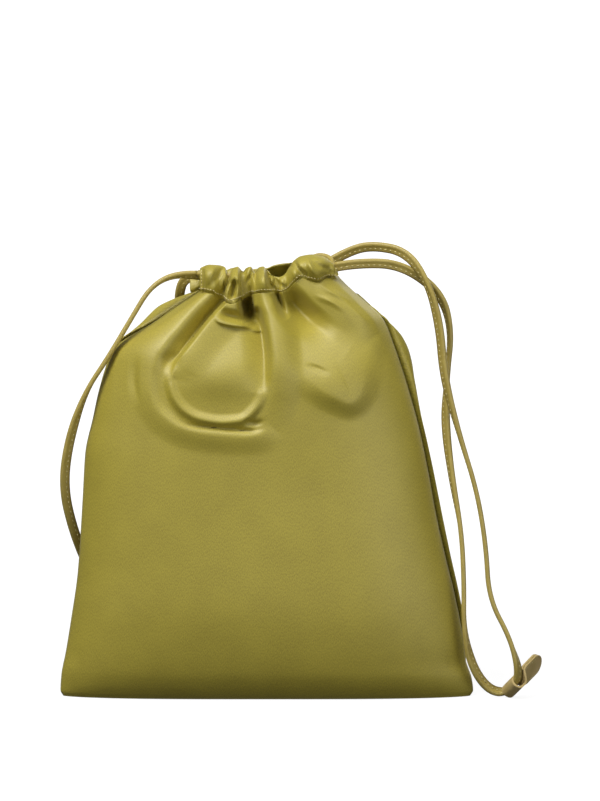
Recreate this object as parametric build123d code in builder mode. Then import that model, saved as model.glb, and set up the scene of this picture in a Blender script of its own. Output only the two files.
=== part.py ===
"""Drawstring gift sack of satin: two panels, a lined inside, a casing along each top edge and
two leather drawstrings that leave the casings on opposite sides, each with a leather pull tab.

Frame: the sack stands on the floor with the middle of its base at the origin, its front faces -Y
and +Z is up. Millimetres.
"""

from build123d import *
import os
from math import radians, tan

# ---- the sack's outline: seam-to-seam width and full depth at each height -----------------------
base_width = 229.0
base_depth = 36.0

corner_height = 16.0
corner_width = 224.0
corner_depth = 46.0

belly_height = 45.0
belly_width = 215.5
belly_depth = 56.0

waist_height = 109.0
waist_width = 195.5
waist_depth = 54.0

chest_height = 155.0
chest_width = 181.0
chest_depth = 50.0

shoulder_height = 191.0
shoulder_width = 162.0
shoulder_depth = 44.0

collar_height = 212.0
collar_width = 122.0
collar_depth = 36.0

neck_height = 226.0
neck_width = 88.0
neck_depth = 28.0

# ---- cloth ---------------------------------------------------------------------------------------
panel_thickness = 1.0       # satin with its backing
panel_edge = 2.4            # doubled satin at a side seam, measured across the sack
lining_thickness = 0.6
lining_gap = 0.4            # air between a panel and the lining
seam_allowance = 7.0        # cloth left inside a seam
seam_thickness = 1.2        # two layers of it, pressed

# ---- drawstrings and the casings that they run in ------------------------------------------------
strap_diameter = 4.0        # folded and stitched leather strip, taken as round
strap_clearance = 0.75      # room beside a strap in its casing
strap_spacing = 6.0         # the two straps lie one above the other in each casing
strap_floor = 4.5           # lower strap's axis above the casing's stitched edge
casing_length = 76.0
casing_height = 15.0
casing_wall = 1.0
casing_bulge = 2.5          # how far the gathered outer wall stands out at mid-length
mouth_gap = 8.0             # what is left of the mouth between the two casings
pull_travel = 6.0           # strap still to be drawn out before its far bend meets the casing
pull_clearance = 0.5        # left between that bend and the casing at the end of the pull
far_bend_radius = 5.0

# ---- pull tabs: a strip folded round the strap, its two halves stitched together ------------------
tab_leather = 1.2
tab_width = 12.0
tab_length = 27.0           # from the strap's axis to the rounded tip
tab_clearance = 0.7
snug_bend = 4.0             # the strap's tight bend where it enters a tab

# ---- stitches ------------------------------------------------------------------------------------
stitch_pitch = 3.0
stitch_length = 2.2
stitch_width = 0.5
stitch_rise = 0.4
stitch_inset = 1.4          # from an edge to the row beside it
tab_stitch_count = 6        # in each row along a tab

# ---- worked out ----------------------------------------------------------------------------------
profile = [
    (0.0, base_width, base_depth),
    (corner_height, corner_width, corner_depth),
    (belly_height, belly_width, belly_depth),
    (waist_height, waist_width, waist_depth),
    (chest_height, chest_width, chest_depth),
    (shoulder_height, shoulder_width, shoulder_depth),
    (collar_height, collar_width, collar_depth),
    (neck_height, neck_width, neck_depth),
]
lining_edge = panel_edge + seam_allowance + lining_gap
lining_face = panel_thickness + lining_gap
lining_floor = panel_thickness + seam_thickness + lining_gap

strap_radius = strap_diameter / 2
channel_width = strap_diameter + 2 * strap_clearance
casing_inner = mouth_gap / 2
channel_inner = casing_inner + casing_wall
strap_line = channel_inner + channel_width / 2
casing_side = channel_inner + channel_width + casing_wall
casing_face = casing_side + casing_bulge
casing_end = casing_length / 2
face_radius = (casing_end**2 + casing_bulge**2) / (2 * casing_bulge)
left_strap_height = neck_height + strap_floor
right_strap_height = left_strap_height + strap_spacing
far_bend = casing_end + pull_travel + pull_clearance + far_bend_radius

tab_bore = strap_radius + tab_clearance
tab_outer = tab_bore + tab_leather

os.makedirs("parts", exist_ok=True)


def half_sections(side, edge_inset, face_inset, floor):
    """Half-lens sections of the sack, one at each height: side -1 is its front and +1 its back."""
    sections = []
    for height, width, depth in profile:
        half_width = width / 2 - edge_inset
        half_depth = depth / 2 - face_inset
        with BuildSketch(Plane.XY.offset(max(height, floor))) as section:
            with BuildLine():
                ThreePointArc((-half_width, 0), (0, side * half_depth), (half_width, 0))
                Line((half_width, 0), (-half_width, 0))
            make_face()
        sections.append(section.sketch)
    return sections


def seam_sections(side):
    """Sections of the cloth inside a side seam: side -1 is the left seam and +1 the right one."""
    sections = []
    for height, width, _ in profile:
        middle = side * (width / 2 - panel_edge - seam_allowance / 2)
        with BuildSketch(Plane.XY.offset(max(height, panel_thickness))) as section:
            with Locations((middle, 0)):
                Rectangle(seam_allowance, seam_thickness)
        sections.append(section.sketch)
    return sections


def face_plane(along, rise):
    """Plane on the front casing's outer face, at a distance along it and above its stitched edge."""
    normal = Vector(along / face_radius, -((1 - (along / face_radius) ** 2) ** 0.5), 0)
    centre = Vector(0, face_radius - casing_face, neck_height + rise)
    return Plane(origin=centre + normal * face_radius, x_dir=(-normal.Y, normal.X, 0), z_dir=normal)


def bend_radii(points, snug):
    """Largest arc that each corner's two runs allow, or the snug bend at the corners beside a tab."""
    radii = []
    for before, corner, after in zip(points, points[1:], points[2:]):
        run_in = Vector(*corner) - Vector(*before)
        run_out = Vector(*after) - Vector(*corner)
        turn = radians(run_in.get_angle(run_out))
        largest = 0.45 * min(run_in.length, run_out.length) / tan(turn / 2)
        radii.append(min(largest, snug_bend) if corner in snug else largest)
    return radii


# ---- panels and lining: front and back halves that meet in the side seams and along the base -------
panels = {}
for name, side in (("front", -1), ("back", 1)):
    with BuildPart() as panel:
        loft(sections=half_sections(side, 0, 0, 0), ruled=True)
        hollow = half_sections(side, panel_edge, panel_thickness, panel_thickness)
        loft(sections=hollow, ruled=True, mode=Mode.SUBTRACT)
    panel.part.label = f"{name}_panel"
    export_step(panel.part, f"parts/{name}_panel.step")
    panels[name] = panel.part

    with BuildPart() as lining:
        loft(sections=half_sections(side, lining_edge, lining_face, lining_floor), ruled=True)
        hollow = half_sections(
            side,
            lining_edge + panel_edge,
            lining_face + lining_thickness,
            lining_floor + lining_thickness,
        )
        loft(sections=hollow, ruled=True, mode=Mode.SUBTRACT)
    lining.part.label = f"{name}_lining"
    export_step(lining.part, f"parts/{name}_lining.step")

# ---- seams: the cloth inside the two side seams, and inside the base seam, pressed flat ------------
for name, side in (("left", -1), ("right", 1)):
    with BuildPart() as side_seam:
        loft(sections=seam_sections(side), ruled=True)
        add(panels["front"], mode=Mode.SUBTRACT)
        add(panels["back"], mode=Mode.SUBTRACT)
    side_seam.part.label = f"{name}_side_seam"
    export_step(side_seam.part, f"parts/{name}_side_seam.step")

with BuildPart() as base_seam:
    with BuildSketch(Plane.XY.offset(panel_thickness)):
        Rectangle(base_width - 2 * lining_edge, seam_allowance, align=(Align.CENTER, Align.MAX))
    extrude(amount=seam_thickness)
    hollow = half_sections(-1, panel_edge, panel_thickness, panel_thickness)
    loft(sections=hollow, ruled=True, mode=Mode.INTERSECT)
base_seam.part.label = "base_seam"
export_step(base_seam.part, "parts/base_seam.step")

# ---- casings: hollow channels along the two top edges, open at both ends ---------------------------
with BuildPart() as front_casing:
    with BuildSketch(Plane.XY.offset(neck_height)):
        with BuildLine():
            ThreePointArc((-casing_end, -casing_side), (0, -casing_face), (casing_end, -casing_side))
            Polyline(
                (casing_end, -casing_side),
                (casing_end, -casing_inner),
                (-casing_end, -casing_inner),
                (-casing_end, -casing_side),
            )
        make_face()
    extrude(amount=casing_height)
    with Locations((0, -strap_line, neck_height + casing_height / 2)):
        channel_height = casing_height - 2 * casing_wall
        Box(casing_length, channel_width, channel_height, mode=Mode.SUBTRACT)
front_casing.part.label = "front_casing"
export_step(front_casing.part, "parts/front_casing.step")

with BuildPart() as back_casing:
    add(front_casing.part.rotate(Axis.Z, 180))
back_casing.part.label = "back_casing"
export_step(back_casing.part, "parts/back_casing.step")

# ---- stitches: the row that closes each casing, and the rows beside the openings at its ends -------
row_count = int((casing_length - 2 * stitch_inset - stitch_length) / stitch_pitch) + 1
with BuildPart() as front_casing_stitching:
    for index in range(row_count):
        along = (index - (row_count - 1) / 2) * stitch_pitch
        with BuildSketch(face_plane(along, stitch_inset)):
            Rectangle(stitch_length, stitch_width)
    extrude(amount=stitch_rise)
front_casing_stitching.part.label = "front_casing_stitching"
export_step(front_casing_stitching.part, "parts/front_casing_stitching.step")

with BuildPart() as back_casing_stitching:
    add(front_casing_stitching.part.rotate(Axis.Z, 180))
back_casing_stitching.part.label = "back_casing_stitching"
export_step(back_casing_stitching.part, "parts/back_casing_stitching.step")

opening_first = 2 * stitch_inset + stitch_length / 2
opening_count = int((casing_height - opening_first - stitch_inset - stitch_length) / stitch_pitch) + 1
with BuildPart() as right_opening_stitching:
    for index in range(opening_count):
        with BuildSketch(face_plane(casing_end - stitch_inset, opening_first + index * stitch_pitch)):
            Rectangle(stitch_width, stitch_length)
    extrude(amount=stitch_rise)
    mirror(about=Plane.XZ)
right_opening_stitching.part.label = "right_opening_stitching"
export_step(right_opening_stitching.part, "parts/right_opening_stitching.step")

with BuildPart() as left_opening_stitching:
    add(right_opening_stitching.part.rotate(Axis.Z, 180))
left_opening_stitching.part.label = "left_opening_stitching"
export_step(left_opening_stitching.part, "parts/left_opening_stitching.step")

# ---- drawstring loops: out of the front casing, through the pull tab and back into the back casing -
right_tab_top = (139.8, -18.2, 12.2)
right_tab_foot = (132.4, -5.8, 2.3)
right_loop_points = [
    (casing_end, -strap_line, right_strap_height),
    (50, -strap_line, right_strap_height),
    (76, -7, 237),
    (96, -4, 222),
    (101.5, -3, 203),
    (99, -3, 178),
    (98, -4, 152),
    (101.5, -8, 122),
    (107, -12, 92),
    (108.5, -15, 64),
    (108.5, -16, 40),
    (112.5, -14, 19),
    (122, -9, 4.5),
    right_tab_foot,
    right_tab_top,
    (134, -18, 34),
    (122, -16, 56),
    (120.5, -14, 84),
    (115.5, -13, 114),
    (106, -12, 144),
    (97, -13, 177),
    (94.8, -13, 206),
    (88.5, -12, 229),
    (77, -6, 247.5),
    (58, 3, 250),
    (49, strap_line, right_strap_height),
    (casing_end, strap_line, right_strap_height),
]

left_tab_top = (-77.2, 41.8, 12.4)
left_tab_foot = (-66.3, 50.6, 2.3)
left_loop_points = [
    (-casing_end, -strap_line, left_strap_height),
    (-50, -strap_line, left_strap_height),
    (-64, -9, 226),
    (-74, -11, 209),
    (-86, -12, 189),
    (-99, -11, 169),
    (-108, -9, 144),
    (-112, -4, 117),
    (-107, 6, 91),
    (-98, 19, 66),
    (-90, 30, 44),
    (-82, 38, 26),
    left_tab_top,
    left_tab_foot,
    (-54, 54.5, 2.6),
    (-38, 57.5, 2.8),
    (-21, 57, 5),
    (-9, 51, 19),
    (-4, 45, 44),
    (-4, 41, 75),
    (-10, 40, 107),
    (-17, 39, 138),
    (-24, 36, 167),
    (-34, 31, 192),
    (-48, 24, 207),
    (-53, 14, 222),
    (-48, strap_line, left_strap_height),
    (-casing_end, strap_line, left_strap_height),
]

for name, points, snug in (
    ("right", right_loop_points, (right_tab_foot, right_tab_top)),
    ("left", left_loop_points, (left_tab_top, left_tab_foot)),
):
    radii = bend_radii(points, snug)
    with BuildPart() as loop:
        with BuildLine():
            route = FilletPolyline(*points, radius=radii)
        with BuildSketch(Plane(origin=route @ 0, z_dir=route % 0)) as section:
            Circle(strap_radius)
        sweep()
    loop.part.label = f"{name}_drawstring_loop"
    export_step(loop.part, f"parts/{name}_drawstring_loop.step")
    volume_ratio = loop.part.volume / (section.sketch.area * route.length)
    print(f"{name} loop: {route.length:.0f} mm long, volume over section times length {volume_ratio:.4f}")
    print("bend radii:", " ".join(f"{radius:.1f}" for radius in radii))

# ---- drawstring runs: through both casings, bent back beyond their far ends -------------------------
for name, side, height in (("right", 1, right_strap_height), ("left", -1, left_strap_height)):
    with BuildPart() as run:
        with BuildLine():
            route = FilletPolyline(
                (side * casing_end, -strap_line, height),
                (-side * far_bend, -strap_line, height),
                (-side * far_bend, strap_line, height),
                (side * casing_end, strap_line, height),
                radius=far_bend_radius,
            )
        with BuildSketch(Plane(origin=route @ 0, z_dir=route % 0)):
            Circle(strap_radius)
        sweep()
    run.part.label = f"{name}_drawstring_run"
    export_step(run.part, f"parts/{name}_drawstring_run.step")

# ---- pull tabs: the strap passes through the fold, and the stitched halves reach away from it -------
for name, foot, top, reach in (
    ("right", right_tab_foot, right_tab_top, (0.50, 0.70, 0.51)),
    ("left", left_tab_foot, left_tab_top, (0.42, 0.39, 0.82)),
):
    strap_axis = Vector(*top) - Vector(*foot)
    fold = Plane(origin=Vector(*foot) + strap_axis * 0.5, x_dir=reach, z_dir=strap_axis)
    flat = Plane(origin=fold.origin, x_dir=fold.x_dir, z_dir=fold.y_dir)
    with BuildPart() as pull_tab:
        with BuildSketch(fold):
            Circle(tab_outer)
            Rectangle(tab_length, 2 * tab_leather, align=(Align.MIN, Align.CENTER))
            Circle(tab_bore, mode=Mode.SUBTRACT)
        extrude(amount=tab_width / 2, both=True)
        with BuildSketch(flat):
            with Locations((tab_length - tab_width / 2, 0)):
                Circle(tab_width / 2)
                Rectangle(2 * tab_length, tab_width, align=(Align.MAX, Align.CENTER))
        extrude(amount=tab_outer, both=True, mode=Mode.INTERSECT)
    pull_tab.part.label = f"{name}_pull_tab"
    export_step(pull_tab.part, f"parts/{name}_pull_tab.step")

    row_middle = (tab_outer + tab_length - tab_width / 2) / 2
    with BuildPart() as tab_stitching:
        for face in (flat.offset(tab_leather), flat.offset(-tab_leather - stitch_rise)):
            with BuildSketch(face):
                with Locations((row_middle, 0)):
                    with GridLocations(stitch_pitch, tab_width - 2 * stitch_inset, tab_stitch_count, 2):
                        Rectangle(stitch_length, stitch_width)
        extrude(amount=stitch_rise)
    tab_stitching.part.label = f"{name}_tab_stitching"
    export_step(tab_stitching.part, f"parts/{name}_tab_stitching.step")
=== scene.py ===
"""Looks of the drawstring gift sack: satin panels gathered into casings, leather drawstrings and tabs.

Everything is in metres in the CAD frame: the sack stands on z = 0, its front faces -Y. The classes
work in millimetres, as a sample maker would, and turn to metres where a mesh is made.
"""

import logging
import math
from dataclasses import dataclass
from enum import Enum

import bpy
import numpy as np
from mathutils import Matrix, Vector


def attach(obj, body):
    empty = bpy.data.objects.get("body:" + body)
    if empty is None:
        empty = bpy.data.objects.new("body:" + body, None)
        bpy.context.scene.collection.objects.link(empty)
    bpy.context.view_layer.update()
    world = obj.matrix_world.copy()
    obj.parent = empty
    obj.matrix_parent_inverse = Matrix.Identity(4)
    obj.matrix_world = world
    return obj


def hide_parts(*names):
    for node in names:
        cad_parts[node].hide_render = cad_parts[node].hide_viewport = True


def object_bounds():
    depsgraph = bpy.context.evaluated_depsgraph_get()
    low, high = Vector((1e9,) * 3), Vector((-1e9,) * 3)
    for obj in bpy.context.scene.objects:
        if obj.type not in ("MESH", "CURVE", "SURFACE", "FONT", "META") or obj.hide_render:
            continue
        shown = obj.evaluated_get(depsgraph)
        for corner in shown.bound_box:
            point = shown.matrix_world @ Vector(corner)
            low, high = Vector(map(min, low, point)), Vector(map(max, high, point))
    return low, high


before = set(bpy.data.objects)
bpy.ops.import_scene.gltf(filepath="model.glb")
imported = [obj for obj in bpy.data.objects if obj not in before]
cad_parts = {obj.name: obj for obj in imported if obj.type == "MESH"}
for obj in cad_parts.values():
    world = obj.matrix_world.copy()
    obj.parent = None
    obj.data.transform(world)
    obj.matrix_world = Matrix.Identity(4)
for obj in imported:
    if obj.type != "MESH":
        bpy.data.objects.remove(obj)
CAD_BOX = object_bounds()

MM = 0.001
UV_NAME = "UVMap"
OUTWARD = "outward"
# Attribute that carries painted shade towards the straps' cut edges.
EDGE = "painted_edge_shade"

log = logging.getLogger("gift_sack")

Knots = tuple[tuple[float, float], ...]
Point = tuple[float, float, float]


class Side(Enum):
    """The two halves of the sack; the value is the sign of Y on that half."""

    FRONT = -1
    BACK = 1


class Hand(Enum):
    """The two ends of the casings; the value is the sign of X there."""

    LEFT = -1
    RIGHT = 1


# ---- curves and meshes ---------------------------------------------------------------------------


def through(knots: Knots, at: np.ndarray) -> np.ndarray:
    """Read a smooth curve that passes through its knots and never overshoots them.

    Args:
        knots: (position, value) pairs in rising order of position.
        at: Positions to read; beyond the last knot the value holds.

    Returns:
        The curve's value at each position.
    """
    xs, ys = np.array(knots, dtype=float).T
    runs = np.diff(xs)
    slopes = np.diff(ys) / runs
    tangents = np.zeros_like(ys)
    product = slopes[:-1] * slopes[1:]
    total = slopes[:-1] + slopes[1:]
    safe = np.where(product > 0, total, 1.0)
    tangents[1:-1] = np.where(product > 0, 2 * product / safe, 0.0)
    tangents[0], tangents[-1] = slopes[0], slopes[-1]
    span = np.clip(np.searchsorted(xs, at, side="right") - 1, 0, len(runs) - 1)
    t = np.clip((at - xs[span]) / runs[span], 0.0, 1.0)
    rise = ys[span + 1] - ys[span]
    start, end = tangents[span] * runs[span], tangents[span + 1] * runs[span]
    return ys[span] + t * start + t * t * (3 * rise - 2 * start - end) + t**3 * (start + end - 2 * rise)


def smoothstep(value: np.ndarray) -> np.ndarray:
    """Ease from 0 to 1 as the value goes from 0 to 1."""
    t = np.clip(value, 0.0, 1.0)
    return t * t * (3 - 2 * t)


def grid_faces(rows: int, columns: int, closed: bool = False, flip: bool = False) -> list[tuple[int, ...]]:
    """Quads of a grid of vertices that is stored row by row.

    Args:
        rows: Number of rows.
        columns: Number of vertices in a row.
        closed: Whether each row is a ring.
        flip: Whether the faces point the other way.

    Returns:
        One tuple of vertex numbers for each face.
    """
    faces = []
    for row in range(rows - 1):
        for column in range(columns if closed else columns - 1):
            beside = (column + 1) % columns
            face = (
                row * columns + column,
                row * columns + beside,
                (row + 1) * columns + beside,
                (row + 1) * columns + column,
            )
            faces.append(face[::-1] if flip else face)
    return faces


def make_piece(
    name: str,
    points: np.ndarray,
    faces: list[tuple[int, ...]],
    material: bpy.types.Material,
    uv: np.ndarray | None = None,
) -> bpy.types.Object:
    """Make a smooth mesh object at the origin.

    Args:
        name: The piece's name.
        points: Vertex positions in metres, one row each.
        faces: Vertex numbers of each face.
        material: The finish.
        uv: Surface position of each vertex, in metres.

    Returns:
        The new object.
    """
    mesh = bpy.data.meshes.new(name)
    mesh.from_pydata(points.tolist(), [], faces)
    mesh.polygons.foreach_set("use_smooth", [True] * len(mesh.polygons))
    if uv is not None:
        corners = np.empty(len(mesh.loops), dtype=np.int32)
        mesh.loops.foreach_get("vertex_index", corners)
        mesh.uv_layers.new(name=UV_NAME).data.foreach_set("uv", uv[corners].ravel())
    mesh.materials.append(material)
    mesh.update()
    piece = bpy.data.objects.new(name, mesh)
    bpy.context.scene.collection.objects.link(piece)
    return piece


def thicken(piece: bpy.types.Object, thickness: float) -> None:
    """Give a sheet its thickness, in millimetres, on the side that its faces point away from."""
    solid = piece.modifiers.new("cloth thickness", "SOLIDIFY")
    solid.thickness = thickness * MM
    solid.offset = -1.0
    solid.use_even_offset = False


# ---- finishes ------------------------------------------------------------------------------------


def linear(colour: str) -> tuple[float, float, float, float]:
    """Turn an sRGB hex colour to the linear values that a shader takes."""
    channels = [int(colour[i : i + 2], 16) / 255 for i in (1, 3, 5)]
    values = [c / 12.92 if c <= 0.04045 else ((c + 0.055) / 1.055) ** 2.4 for c in channels]
    return (*values, 1.0)


def add_node(
    tree: bpy.types.NodeTree, kind: str, settings: dict | None = None, inputs: dict | None = None
) -> bpy.types.Node:
    """Add a node with its settings and inputs.

    Args:
        tree: The tree that gets the node.
        kind: The node's type.
        settings: Attributes of the node.
        inputs: Values of input sockets, by name or number; a socket is linked instead of set.

    Returns:
        The new node.
    """
    node = tree.nodes.new(kind)
    for name, value in (settings or {}).items():
        setattr(node, name, value)
    for name, value in (inputs or {}).items():
        if isinstance(value, bpy.types.NodeSocket):
            tree.links.new(value, node.inputs[name])
        else:
            node.inputs[name].default_value = value
    return node


def new_material(name: str) -> tuple[bpy.types.Material, bpy.types.NodeTree, bpy.types.Node]:
    """Make a material with a Principled shader; returns the material, its tree and the shader."""
    material = bpy.data.materials.new(name)
    material.use_nodes = True
    tree = material.node_tree
    return material, tree, tree.nodes["Principled BSDF"]


def uv_in_mm(tree: bpy.types.NodeTree) -> bpy.types.NodeSocket:
    """The surface position in millimetres, from the piece's own UV map."""
    place = add_node(tree, "ShaderNodeUVMap", {"uv_map": UV_NAME})
    scale = (1 / MM, 1 / MM, 1 / MM)
    scaled = add_node(
        tree, "ShaderNodeVectorMath", {"operation": "MULTIPLY"}, {0: place.outputs[0], 1: scale}
    )
    return scaled.outputs[0]


def blend_colours(
    tree: bpy.types.NodeTree, factor: bpy.types.NodeSocket, low: str, high: str
) -> bpy.types.NodeSocket:
    """Mix two sRGB hex colours by a factor."""
    mix = add_node(tree, "ShaderNodeMix", {"data_type": "RGBA"}, {0: factor})
    mix.inputs[6].default_value = linear(low)
    mix.inputs[7].default_value = linear(high)
    return mix.outputs[2]


@dataclass(frozen=True)
class DuchesseSatin:
    """Heavy duchesse satin, woven in a long float.

    The floats lie side by side and carry a broad coloured sheen, so a fold goes from pale gold-green
    to near black within a few millimetres, and the weave shows as a fine even grain.
    """

    name: str = "duchesse_satin"
    face: str = "#BFB039"
    deep: str = "#918220"
    roughness: float = 0.55
    metallic: float = 0.05
    gloss: float = 1.0
    # A satin float is about 0.1 mm wide; it is drawn at 0.36 mm, and three times as long, so that the
    # grain shows at arm's length.
    thread: float = 0.36
    grain: float = 0.02

    def material(self) -> bpy.types.Material:
        """Build the satin."""
        material, tree, shader = new_material(self.name)
        place = uv_in_mm(tree)
        along = add_node(
            tree,
            "ShaderNodeMapping",
            {},
            {
                "Vector": place,
                "Rotation": (0, 0, math.radians(63)),
                "Scale": (1 / self.thread, 1 / (3 * self.thread), 1),
            },
        )
        slubs = add_node(
            tree,
            "ShaderNodeTexNoise",
            {"noise_dimensions": "2D"},
            {"Vector": along.outputs[0], "Scale": 1.0, "Detail": 2.0, "Roughness": 0.6},
        )
        cloud = add_node(
            tree,
            "ShaderNodeTexNoise",
            {"noise_dimensions": "2D"},
            {"Vector": place, "Scale": 0.05, "Detail": 2.0},
        )
        tone = add_node(
            tree, "ShaderNodeMath", {"operation": "MULTIPLY_ADD"}, {0: slubs.outputs[0], 1: 2.0, 2: -0.5}
        )
        both = add_node(tree, "ShaderNodeMath", {"operation": "ADD"}, {0: tone.outputs[0], 1: -0.15})
        shift = add_node(
            tree,
            "ShaderNodeMath",
            {"operation": "MULTIPLY_ADD"},
            {0: cloud.outputs[0], 1: 0.3, 2: both.outputs[0]},
        )
        colour = blend_colours(tree, shift.outputs[0], self.deep, self.face)
        tree.links.new(colour, shader.inputs["Base Color"])
        bump = add_node(
            tree,
            "ShaderNodeBump",
            {},
            {"Strength": 1.0, "Distance": self.grain * MM, "Height": slubs.outputs[0]},
        )
        tree.links.new(bump.outputs[0], shader.inputs["Normal"])
        shader.inputs["Roughness"].default_value = self.roughness
        shader.inputs["Metallic"].default_value = self.metallic
        shader.inputs["Specular IOR Level"].default_value = self.gloss
        shader.inputs["Sheen Weight"].default_value = 0.14
        shader.inputs["Sheen Roughness"].default_value = 0.4
        shader.inputs["Sheen Tint"].default_value = linear("#F2ECC4")
        return material


@dataclass(frozen=True)
class LiningTwill:
    """Thin twill lining: matt, darker than the satin, with a fine diagonal line."""

    name: str = "lining_twill"
    face: str = "#6E6430"
    deep: str = "#575023"
    # Twill lines are about 0.4 mm apart; drawn at 0.8 mm so that they show.
    line: float = 0.8

    def material(self) -> bpy.types.Material:
        """Build the lining."""
        material, tree, shader = new_material(self.name)
        wave = add_node(
            tree,
            "ShaderNodeTexWave",
            {"bands_direction": "DIAGONAL"},
            {
                "Vector": uv_in_mm(tree),
                "Scale": math.pi / (10 * self.line),
                "Distortion": 0.6,
                "Detail": 2.0,
            },
        )
        colour = blend_colours(tree, wave.outputs["Fac"], self.deep, self.face)
        tree.links.new(colour, shader.inputs["Base Color"])
        bump = add_node(
            tree,
            "ShaderNodeBump",
            {},
            {"Strength": 0.6, "Distance": 0.05 * MM, "Height": wave.outputs["Fac"]},
        )
        tree.links.new(bump.outputs[0], shader.inputs["Normal"])
        shader.inputs["Roughness"].default_value = 0.75
        return material


@dataclass(frozen=True)
class SmoothLeather:
    """Smooth pigmented calf leather with a light finish.

    It has a soft gloss with small pores that break it up, and goes a little darker in patches where it is
    handled. Towards its cut edges it carries painted shade that darkens it.
    """

    name: str
    face: str
    deep: str
    # The colour of the painted shade along a strap's cut edges.
    edge: str = "#6E5A26"
    roughness: float = 0.42
    # Calf pores are about 0.15 mm across, 0.3 mm apart; drawn at 0.4 mm so that they show.
    pore: float = 0.4

    def material(self) -> bpy.types.Material:
        """Build the leather."""
        material, tree, shader = new_material(self.name)
        place = add_node(tree, "ShaderNodeTexCoord")
        scaled = add_node(
            tree,
            "ShaderNodeVectorMath",
            {"operation": "MULTIPLY"},
            {0: place.outputs["Object"], 1: (1 / MM, 1 / MM, 1 / MM)},
        )
        pores = add_node(
            tree, "ShaderNodeTexVoronoi", {}, {"Vector": scaled.outputs[0], "Scale": 1 / self.pore}
        )
        patches = add_node(
            tree, "ShaderNodeTexNoise", {}, {"Vector": scaled.outputs[0], "Scale": 0.12, "Detail": 3.0}
        )
        colour = blend_colours(tree, patches.outputs[0], self.deep, self.face)
        # Painted shade: darker towards a strap's cut edges, by the values that the strap carries in this
        # attribute.
        cut = add_node(tree, "ShaderNodeAttribute", {"attribute_name": EDGE})
        painted_edge_mix = add_node(tree, "ShaderNodeMix", {"data_type": "RGBA"}, {0: cut.outputs["Fac"], 6: colour})
        painted_edge_mix.inputs[7].default_value = linear(self.edge)
        tree.links.new(painted_edge_mix.outputs[2], shader.inputs["Base Color"])
        bump = add_node(
            tree,
            "ShaderNodeBump",
            {},
            {"Strength": 0.5, "Distance": 0.05 * MM, "Height": pores.outputs["Distance"]},
        )
        tree.links.new(bump.outputs[0], shader.inputs["Normal"])
        rough = add_node(
            tree,
            "ShaderNodeMath",
            {"operation": "MULTIPLY_ADD"},
            {0: patches.outputs[0], 1: 0.2, 2: self.roughness - 0.1},
        )
        tree.links.new(rough.outputs[0], shader.inputs["Roughness"])
        return material


@dataclass(frozen=True)
class SewingThread:
    """Twisted polyester thread: a soft gloss with a fine diagonal twist."""

    name: str = "sewing_thread"
    face: str = "#E8DCA4"
    deep: str = "#B8AA66"
    # The twist repeats about every 0.3 mm.
    twist: float = 0.3

    def material(self) -> bpy.types.Material:
        """Build the thread."""
        material, tree, shader = new_material(self.name)
        place = add_node(tree, "ShaderNodeTexCoord")
        wave = add_node(
            tree,
            "ShaderNodeTexWave",
            {"bands_direction": "DIAGONAL"},
            {"Vector": place.outputs["Object"], "Scale": math.pi / (10 * self.twist * MM)},
        )
        colour = blend_colours(tree, wave.outputs["Fac"], self.deep, self.face)
        tree.links.new(colour, shader.inputs["Base Color"])
        shader.inputs["Roughness"].default_value = 0.5
        return material


# ---- folds ---------------------------------------------------------------------------------------


@dataclass(frozen=True)
class Fold:
    """A ridge or valley in the cloth, drawn as a line on the face of the sack.

    The line's points are (x, z) in millimetres, and rise is how far the cloth stands out at each
    of them, or sinks where it is negative. It fades over the widths to the left and right of the
    line, as seen going along it. A crisp of 1 is a sharp crease and 2 a round fold.
    """

    line: Knots
    rise: tuple[float, ...]
    left: float
    right: float
    crisp: float = 2.0

    def stand(self, x: np.ndarray, z: np.ndarray) -> np.ndarray:
        """How far this fold makes the cloth stand out at each place."""
        knots = np.arange(len(self.line), dtype=float)
        fine = np.linspace(0, len(self.line) - 1, 6 * (len(self.line) - 1) + 1)
        xs = through(tuple(zip(knots, [p[0] for p in self.line])), fine)
        zs = through(tuple(zip(knots, [p[1] for p in self.line])), fine)
        rises = through(tuple(zip(knots, self.rise)), fine)
        nearest = np.full(x.shape, np.inf)
        height = np.zeros_like(x)
        width = np.full(x.shape, self.left)
        for i in range(len(fine) - 1):
            dx, dz = xs[i + 1] - xs[i], zs[i + 1] - zs[i]
            ax, az = x - xs[i], z - zs[i]
            t = np.clip((ax * dx + az * dz) / (dx * dx + dz * dz), 0.0, 1.0)
            away = np.hypot(ax - t * dx, az - t * dz)
            closer = away < nearest
            nearest = np.where(closer, away, nearest)
            height = np.where(closer, rises[i] + t * (rises[i + 1] - rises[i]), height)
            width = np.where(closer, np.where(dx * az - dz * ax > 0, self.left, self.right), width)
        return height * (1 - np.clip(nearest / width, 0.0, 1.0) ** self.crisp) ** 2


@dataclass(frozen=True)
class Swell:
    """A broad soft mound in the cloth, or a hollow where its rise is negative, in millimetres."""

    x: float
    z: float
    rise: float
    wide: float
    tall: float

    def stand(self, x: np.ndarray, z: np.ndarray) -> np.ndarray:
        """How far this mound makes the cloth stand out at each place."""
        away = ((x - self.x) / self.wide) ** 2 + ((z - self.z) / self.tall) ** 2
        return self.rise * np.exp(-away)


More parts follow.
